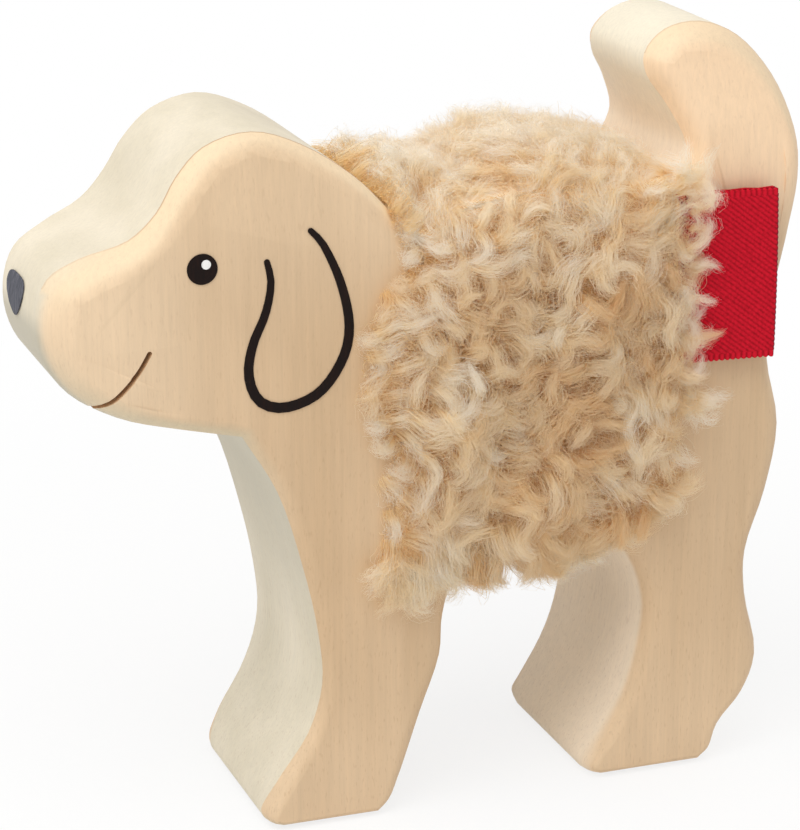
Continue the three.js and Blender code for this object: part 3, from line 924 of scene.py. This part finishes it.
def ribbons(name, paths, facing, widths, tones):
    """A mesh of flat fibres: paths (n, k, 3), the way each point faces, widths (k) and tones (n)."""
    count, steps = paths.shape[:2]
    along = unit(np.gradient(paths, axis=1))
    side = unit(np.cross(along, facing)) * widths[:, None] / 2
    points = np.stack([paths - side, paths + side], 2)
    corner = (np.arange(count)[:, None, None] * steps + np.arange(steps - 1)[:, None]) * 2
    faces = corner + np.array([0, 1, 3, 2])
    places = np.empty((count, steps, 2, 2))
    places[..., 0] = tones[:, None, None] + np.array([-TONE_SPREAD, TONE_SPREAD])
    places[..., 1] = np.linspace(0, 1, steps)[:, None]
    mesh = bpy.data.meshes.new(name)
    mesh.vertices.add(count * steps * 2)
    mesh.vertices.foreach_set("co", points.ravel())
    loops = faces.reshape(-1)
    mesh.loops.add(len(loops))
    mesh.loops.foreach_set("vertex_index", loops.astype(np.int32))
    mesh.polygons.add(len(loops) // 4)
    mesh.polygons.foreach_set("loop_start", np.arange(0, len(loops), 4, dtype=np.int32))
    mesh.update(calc_edges=True)
    mesh.polygons.foreach_set("use_smooth", np.ones(len(mesh.polygons), bool))
    layer = mesh.uv_layers.new(name=PILE_MAP)
    layer.uv.foreach_set("vector", places.reshape(-1, 2)[loops].astype(np.float32).ravel())
    return new_object(name, mesh)


def root_points(wood, points):
    """Roots on the wood under points of the skin, the way up from them, and the pile's height."""
    roots, wood_normals = nearest(wood, points)
    away = points - roots
    height = np.linalg.norm(away, axis=1)
    up = np.where(height[:, None] > THIN_PILE, unit(away), wood_normals)
    height += np.clip(up[:, 2], 0, 1) * np.interp(points[:, 0], *BACK_RISE.T)
    return roots + up * BACKING_THICKNESS, up, np.maximum(height, LEAST_PILE)


def hemmed(lines):
    """Guide lines lifted softly where they would hang below the coat's hem."""
    hem = np.interp(lines[..., 0], *COAT_HEM.T)
    above = np.clip((lines[..., 2] - hem) / HEM_SOFTNESS, -30, 30)
    lifted = np.where(above > 10, lines[..., 2], hem + HEM_SOFTNESS * np.log1p(np.exp(above)))
    return np.stack([lines[..., 0], lines[..., 1], lifted], -1)


def wave_along(at, shape, amplitude):
    """Frizz: a small wave along each fibre that grows from its root."""
    size = rng.normal(0, amplitude, shape)[..., None]
    speed = rng.uniform(*FRIZZ_WAVES, shape)[..., None] * math.tau
    start = rng.uniform(0, math.tau, shape)[..., None]
    return size * np.sin(speed * at + start) * np.minimum(at * FRIZZ_GROWTH, 1)


def lock_lines(points, roots, up, height, ahead, behind, hem, skirt):
    """The locks' guide lines, which swirl in patches, lie outward at the edges and hang down at the hem."""
    count = len(points)
    hanging = np.maximum(hem, skirt)
    inner = 1 - np.maximum(ahead, behind)
    swirl = SWIRL_DRIFT * drift(points, SWIRL_PATCH) + rng.normal(0, SWIRL_SPREAD, count)
    outward = EDGE_TURN * np.sign(up[:, 1]) * (ahead - behind)
    outward += rng.normal(0, EDGE_SPREAD, count) * (1 - inner)
    first = lying(up, (1 - HANGING_STRAIGHTER * hanging) * (inner * swirl + outward))
    way = np.sign(drift(points, CURL_PATCH) + rng.normal(0, CURL_SPREAD, count))
    turn = (1 - FRONT_STRAIGHTER * ahead) * (1 - SKIRT_STRAIGHTER * skirt) * way
    turn = turn * rng.uniform(*LOCK_TURN, count)
    wave = rng.normal(0, LOCK_WAVE, count)
    length = rng.uniform(*LOCK_LENGTH, count) * (1 - FRONT_SHORTER * ahead + HANGING_LONGER * hanging)
    dip = rng.uniform(*LOCK_DIP, count)
    centred = LOCK_CENTRED - HANGING_OFF_CENTRE * np.maximum(hanging, REAR_HANGING * behind)
    return curls(roots, up, first, height, length, turn, wave, dip, centred, LOCK_POINTS)


def lock_tones(points, skirt):
    """The locks' tones, which drift in patches and pale towards the head and the hem, and painted light that
    pales them towards the back.
    """
    tones = LOCK_TONE + TONE_DRIFT * drift(points, TONE_PATCH)
    # Painted light pales the locks on the coat's top
    tones += rng.normal(0, LOCK_TONE_SPREAD, len(points)) + TOP_PAINTED_LIGHT * ramp(points[:, 2], *TOP_UP)
    return tones + FRONT_TONE * ramp(points[:, 0], *FRONT_ALONG) + SKIRT_TONE * skirt


def build_locks(skin, wood, covered):
    """Curled locks, each a bundle of fine fibres round a guide line."""
    points, normals = skin.scatter(LOCK_CANDIDATES)
    kept = spaced(points, LOCK_SPACING)
    points, normals = points[kept], normals[kept]
    feather = feathered(points)
    hem = np.clip(-normals[:, 2], 0, 1)
    thickness = rng.uniform(*LOCK_THICKNESS, len(kept)) * (LOCK_THINNEST + (1 - LOCK_THINNEST) * feather)
    points = points - normals * (LOCK_SINK * thickness * (1 - hem))[:, None]
    roots, up, height = root_points(wood, points)
    height = height * (1 + HEIGHT_DRIFT * drift(points, HEIGHT_PATCH)) * feather
    height = np.maximum(height, LEAST_PILE)
    ahead, behind = edge_shares(points)
    skirt = ramp(points[:, 2], SKIRT_TOP, SKIRT_TOP - SKIRT_DEPTH)
    lines = lock_lines(points, roots, up, height, ahead, behind, hem, skirt)
    most = height + HEM_REACH * hem + SKIRT_REACH * skirt
    lines = keep_outside(lines, covered, LOCK_LEAST * feather, most)
    lines[..., 2] -= SKIRT_SAG * skirt[:, None] * np.linspace(0, 1, LOCK_POINTS)
    paths, facing = bundles(hemmed(lines), up, thickness, FRONT_LOOSENESS * ahead, STRANDS_PER_LOCK)
    tones = lock_tones(points, skirt)
    return [
        fibre_bundles(name, paths[chosen], facing[chosen], STRAND_WIDTH, tones[chosen])
        for name, chosen in regions(up, roots)
    ]


def bundles(lines, up, thickness, loose, strands):
    """Frizzy fibres round guide lines, as paths (lines, strands, steps, 3) and the way they face."""
    across, over = carried_frames(lines)
    shape = (len(lines), strands)
    at = np.linspace(0, 1, STRAND_STEPS) * rng.uniform(*STRAND_REACH, shape)[..., None]
    frizz = FRIZZ * (1 + LOOSE_FRIZZ * loose[:, None])
    loose = loose[:, None, None]
    twist = rng.normal(*BUNDLE_TWIST, (len(lines), 1)) + rng.normal(0, STRAND_TWIST_SPREAD, shape)
    angle = rng.uniform(0, math.tau, shape)[..., None] + twist[..., None] * (1 - loose) * at
    spot = np.abs(rng.normal(*STRAND_SPOT, shape))[..., None]
    closing = BUNDLE_CLOSING - LOOSE_OPENING * loose
    taper = (BUNDLE_ROOT + BUNDLE_BELLY * np.sin(math.pi * at)) * (1 - closing * at ** BUNDLE_TIP)
    radius = spot * thickness[:, None, None] * (1 + LOOSE_SPREAD * loose) * taper
    sideways = radius * np.cos(angle) + wave_along(at, shape, frizz)
    outward = radius * np.sin(angle) + wave_along(at, shape, frizz)
    a, b = sampled(across, at), sampled(over, at)
    paths = sampled(lines, at) + a * sideways[..., None] + b * outward[..., None]
    spread = a * np.cos(angle)[..., None] + b * np.sin(angle)[..., None]
    facing = STRAND_ROUNDNESS * spread * np.minimum(spot, 1)[..., None] + up[:, None, None]
    return paths, facing + rng.normal(0, STRAND_TURN, (*shape, 1, 3))


def fibre_bundles(name, paths, facing, width, tones):
    """One mesh of bundles, whose fibres differ a little from their bundle's tone."""
    tones = np.clip(tones[:, None] + rng.normal(0, STRAND_TONE_SPREAD, paths.shape[:2]), *TONE_LIMITS)
    widths = width * np.interp(np.linspace(0, 1, STRAND_STEPS), *STRAND_TAPER)
    return ribbons(name, paths.reshape(-1, STRAND_STEPS, 3), facing.reshape(-1, STRAND_STEPS, 3),
                   widths, tones.ravel())


def regions(up, roots):
    """Names for the stretches of pile, with the numbers of the locks in each."""
    upright = np.abs(up[:, 1]) < UPRIGHT
    sides = {
        "coat_pile_left": ~upright & (up[:, 1] < 0), "coat_pile_right": ~upright & (up[:, 1] > 0),
        "coat_pile_back": upright & (up[:, 2] > 0), "coat_pile_belly": upright & (up[:, 2] <= 0),
    }
    most = MOST_TRIANGLES // (STRANDS_PER_LOCK * (STRAND_STEPS - 1) * 2)
    for name, chosen in sides.items():
        numbers = np.flatnonzero(chosen)
        numbers = numbers[np.argsort(roots[numbers, 0])]
        for i, part in enumerate(np.array_split(numbers, -(-len(numbers) // most))):
            yield f"{name}_{i + 1}", part


def single_fibres(name, skin, wood, covered, count, steps, heights, lengths, bend, reach, width, tone):
    """Fibres that don't belong to a lock."""
    points, _ = skin.scatter(count)
    count = len(points)
    feather = feathered(points)
    roots, up, height = root_points(wood, points)
    height = height * rng.uniform(*heights, count) * feather
    first = lying(up, rng.uniform(0, math.tau, count))
    length = rng.uniform(*lengths, count) * feather
    turn, wave = rng.normal(0, bend, count), rng.normal(0, FIBRE_WAVE * bend, count)
    dip = rng.uniform(*FIBRE_DIP, count)
    lines = curls(roots, up, first, height, length, turn, wave, dip, np.full(count, FIBRE_CENTRED), steps)
    lines = hemmed(keep_outside(lines, covered, FIBRE_LEAST, height + reach * feather))
    facing = np.broadcast_to(up[:, None] + rng.normal(0, FIBRE_TURN, (count, 1, 3)), lines.shape)
    tones = np.clip(rng.normal(tone, FIBRE_TONE_SPREAD, count), *TONE_LIMITS)
    return ribbons(name, lines, facing, width * np.linspace(1, FIBRE_TIP, steps), tones)


def stray_curls(covered, places, angle, spread, lengths, curl, reach, tone):
    """Small curls from places on the dog's sides: their fibres' paths and facing, and the curls' tones."""
    count = len(places)
    side = np.sign(places[:, 1])
    up = np.stack([np.zeros(count), side, np.zeros(count)], 1)
    first = lying(up, angle * side + rng.normal(0, spread, count))
    rise = rng.uniform(*WISP_RISE, count)
    length = rng.uniform(*lengths, count)
    turn, wave = rng.normal(0, curl, count), rng.normal(0, WISP_WAVE, count)
    dip = rng.uniform(*WISP_DIP, count)
    lines = curls(places, up, first, rise, length, turn, wave, dip, np.zeros(count), LOCK_POINTS)
    lines = keep_outside(lines, covered, WISP_LEAST, np.full(count, reach))
    thickness = rng.uniform(*WISP_THICKNESS, count)
    paths, facing = bundles(lines, up, thickness, np.full(count, WISP_LOOSENESS), STRANDS_PER_WISP)
    return paths, facing, rng.normal(tone, WISP_TONE_SPREAD, count)


def build_wisps(covered):
    """Small curls that stray from the coat: over the label, along the hem, at the tail and on the flank."""
    low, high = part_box("woven_label")
    left, right = (corner.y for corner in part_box("wooden_body"))
    heights = rng.uniform(low.z - REAR_WISP_BELOW, high.z + REAR_WISP_ABOVE, REAR_WISPS)
    places = np.interp(heights, *COAT_REAR.T) - rng.uniform(*REAR_WISP_INSET, REAR_WISPS)
    rear = np.stack([places, np.full(REAR_WISPS, low.y - REAR_WISP_LIFT), heights], 1)
    foremost, rearmost = HEM_WISP_ROOTS[[0, -1], 0]
    places = foremost + (rearmost - foremost) * rng.uniform(0, 1, HEM_WISPS) ** HEM_WISP_CROWDING
    heights = np.interp(places, *HEM_WISP_ROOTS.T) + rng.uniform(*HEM_WISP_RISE, HEM_WISPS)
    hem = np.stack([places, rng.choice([left, right], HEM_WISPS), heights], 1)
    tail = rng.normal(TAIL_WISP_PLACE, TAIL_WISP_SPREAD, (TAIL_WISPS, 2))
    flank = rng.normal(FLANK_WISP_PLACE, FLANK_WISP_SPREAD, (FLANK_WISPS, 2))
    tail, flank = (np.insert(roots, 1, left - SIDE_WISP_LIFT, 1) for roots in (tail, flank))
    roots = {"rear": rear, "hem": hem, "tail": tail, "flank": flank}
    groups = [stray_curls(covered, roots[name], **kind) for name, kind in STRAY_CURLS.items()]
    paths, facing, tones = (np.concatenate(parts) for parts in zip(*groups))
    return fibre_bundles("coat_wisps", paths, facing, WISP_WIDTH, tones)


def build_backing(skin):
    """The plush's knitted ground, laid on the wood, which ends under the pile."""
    used, faces = np.unique(skin.inner[:, ::-1], return_inverse=True)
    mesh = bpy.data.meshes.new("coat_backing")
    mesh.from_pydata(skin.points[used].tolist(), [], faces.reshape(-1, 3).tolist())
    shape = bmesh.new()
    shape.from_mesh(mesh)
    bmesh.ops.remove_doubles(shape, verts=shape.verts, dist=WELD)
    low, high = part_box("plush_coat")
    for axis, across in ((0, Vector((1, 0, 0))), (2, Vector((0, 0, 1)))):
        for place in np.arange(low[axis], high[axis], BACKING_GRID):
            parts = [*shape.verts, *shape.edges, *shape.faces]
            bmesh.ops.bisect_plane(shape, geom=parts, plane_co=across * place, plane_no=across)
    middles = np.array([face.calc_center_median() for face in shape.faces])
    outside = np.minimum(*edge_distances(middles)) < BACKING_MARGIN
    bmesh.ops.delete(shape, geom=[f for f, out in zip(list(shape.faces), outside) if out], context="FACES")
    shape.to_mesh(mesh)
    shape.free()
    piece = new_object("coat_backing", mesh)
    thicken(piece, BACKING_THICKNESS, 1.0)
    return piece


def build_coat():
    """The plush: its knitted ground, which stands for the coat's solid, and the pile on it."""
    wood = tree_of("wooden_body")
    covered = tree_of("wooden_body", "woven_label")
    skin = Skin(covered)
    backing = build_backing(skin)
    pile = build_locks(skin, wood, covered)
    pile += [single_fibres(name, skin, wood, covered, **kind) for name, kind in SINGLE_FIBRES.items()]
    pile.append(build_wisps(covered))
    fibre = pile_material("wool_pile")
    for piece in pile:
        dress(piece, "plush", fibre)
    dress(backing, "plush", backing_material("plush_ground"))
    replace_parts(backing, "plush_coat")


# Label

def label_path(low, high):
    """The ribbon's inner ply, fold and outer ply, as rows of x, y and the way out."""
    middle = (low.y + high.y) / 2
    bend = (high.y - low.y) / 2 - LABEL_PLY / 2
    fold_x = high.x - LABEL_PLY / 2 - bend
    inner = [(x, middle + bend, 0.0, 1.0) for x in np.linspace(low.x, fold_x, LABEL_INNER_STEPS)]
    turns = [(math.sin(turn), math.cos(turn)) for turn in np.linspace(0, math.pi, LABEL_FOLD_STEPS)[1:-1]]
    fold = [(fold_x + bend * out, middle + bend * aside, out, aside) for out, aside in turns]
    steps = int((fold_x - low.x) / LABEL_STEP)
    outer = [(x, middle - bend, 0.0, -1.0) for x in np.linspace(fold_x, low.x, steps)]
    return np.array(inner + fold + outer)


def build_label():
    """A ribbon of beaded twill folded in two, its free fold to the rear and its ends under the coat."""
    low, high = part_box("woven_label")
    path = label_path(low, high)
    rows = np.linspace(low.z, high.z, int((high.z - low.z) / LABEL_STEP))
    x, z = np.meshgrid(path[:, 0], rows)
    y, out_x, out_y = (np.broadcast_to(path[:, i], x.shape) for i in (1, 2, 3))
    along = x * math.sin(LABEL_RIB_ANGLE) + z * math.cos(LABEL_RIB_ANGLE)
    rib = np.cos(math.tau / LABEL_RIB_PITCH * along)
    bead = np.cos(math.tau / LABEL_BEAD_PITCH * x)
    inset = np.minimum(z - low.z, high.z - z)
    weave = np.where(inset < LABEL_SELVEDGE, LABEL_SELVEDGE_GAIN * bead, rib)
    weave = weave * (np.arange(len(path)) > LABEL_INNER_STEPS)
    raised = LABEL_RIB_HEIGHT * weave
    edge = LABEL_BEAD * bead * np.clip(1 - inset / LABEL_SELVEDGE, 0, 1)
    share = (x - low.x) / (high.x - low.x)
    drop = 1 - (z - low.z) / (high.z - low.z)
    points = np.stack([
        x + out_x * raised + share * (LABEL_BOW * np.sin(math.pi * drop) + LABEL_FLARE * drop ** 2),
        y + out_y * raised - LABEL_STAND * share ** LABEL_STAND_CURVE,
        z + edge * np.sign(0.5 - drop),
    ], -1)
    columns = len(path)
    corner = (np.arange(len(rows) - 1)[:, None] * columns + np.arange(columns - 1)[None]).ravel()
    faces = np.stack([corner, corner + columns, corner + columns + 1, corner + 1], 1)
    mesh = bpy.data.meshes.new("label_ribbon")
    mesh.from_pydata(points.reshape(-1, 3).tolist(), [], faces.tolist())
    mesh.polygons.foreach_set("use_smooth", np.ones(len(faces), bool))
    for name, values in ((WEAVE_MAP, weave), (FOLD_MAP, out_x)):
        layer = mesh.attributes.new(name, "FLOAT", "POINT")
        layer.data.foreach_set("value", values.astype(np.float32).ravel())
    piece = new_object("label_ribbon", mesh)
    thicken(piece, LABEL_PLY, 0.0)
    dress(piece, "ribbon", ribbon_material("red_twill"))
    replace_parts(piece, "woven_label")


# Studio

def shown_rays(tree):
    """One for rays from the camera, or by way of gloss or glass, and nought for the others."""
    rays = add_node(tree, "ShaderNodeLightPath").outputs
    return greatest(tree, rays["Is Camera Ray"], rays["Is Glossy Ray"], rays["Is Transmission Ray"])


def build_world():
    """A pale world that shows as white."""
    world = bpy.data.worlds.new("studio")
    world.use_nodes = True
    bpy.context.scene.world = world
    tree = world.node_tree
    strength = ranged(tree, shown_rays(tree), 0, 1, WORLD_STRENGTH, 1.0)
    feed(tree, tree.nodes["Background"], {"Color": WHITE, "Strength": strength})


def build_floor():
    """A white floor that keeps the dog's shadow and clears to white away from it."""
    half = FLOOR_SIZE / 2
    corners = [(-half, -half, 0), (half, -half, 0), (half, half, 0), (-half, half, 0)]
    mesh = bpy.data.meshes.new("floor")
    mesh.from_pydata(corners, [], [(0, 1, 2, 3)])
    floor = new_object("floor", mesh)
    material, tree, shader = new_material("white_floor")
    feed(tree, shader, {"Base Color": FLOOR_COLOUR, "Roughness": 0.9, "Specular IOR Level": 0.0})
    glow = add_node(tree, "ShaderNodeEmission", {"Color": WHITE, "Strength": 1.0})
    away = add_node(tree, "ShaderNodeVectorMath", {0: object_place(tree)}, operation="LENGTH")
    clear = ranged(tree, away.outputs["Value"], *FLOOR_CLEARS, smooth=True)
    share = product(tree, shown_rays(tree), clear)
    mix_shaders(tree, share, shader.outputs["BSDF"], glow.outputs["Emission"])
    mesh.materials.append(material)


def aimed(name, data, place):
    """A lamp or camera at a place, turned to the middle of the dog."""
    holder = new_object(name, data)
    holder.location = place
    holder.rotation_euler = (CAMERA_TARGET - Vector(place)).to_track_quat("-Z", "Y").to_euler()
    return holder


def build_lamps():
    """Two soft lamps, one above and one in front of the dog."""
    for name, (place, size, watts) in LAMPS.items():
        lamp = bpy.data.lights.new(name, "AREA")
        lamp.shape = "DISK"
        lamp.size = size
        lamp.energy = watts
        aimed(name, lamp, place)


def build_camera():
    """The photograph's camera, with plain display colours."""
    camera = bpy.data.cameras.new("camera")
    camera.lens = CAMERA_LENS_MM
    camera.sensor_width = CAMERA_SENSOR_MM
    camera.clip_start = CAMERA_NEAR
    bpy.context.scene.camera = aimed("camera", camera, CAMERA_PLACE)
    bpy.context.scene.view_settings.view_transform = "Standard"


build_camera()
build_world()
build_floor()
build_lamps()
build_wood()
paint_nodes()
build_coat()
build_label()
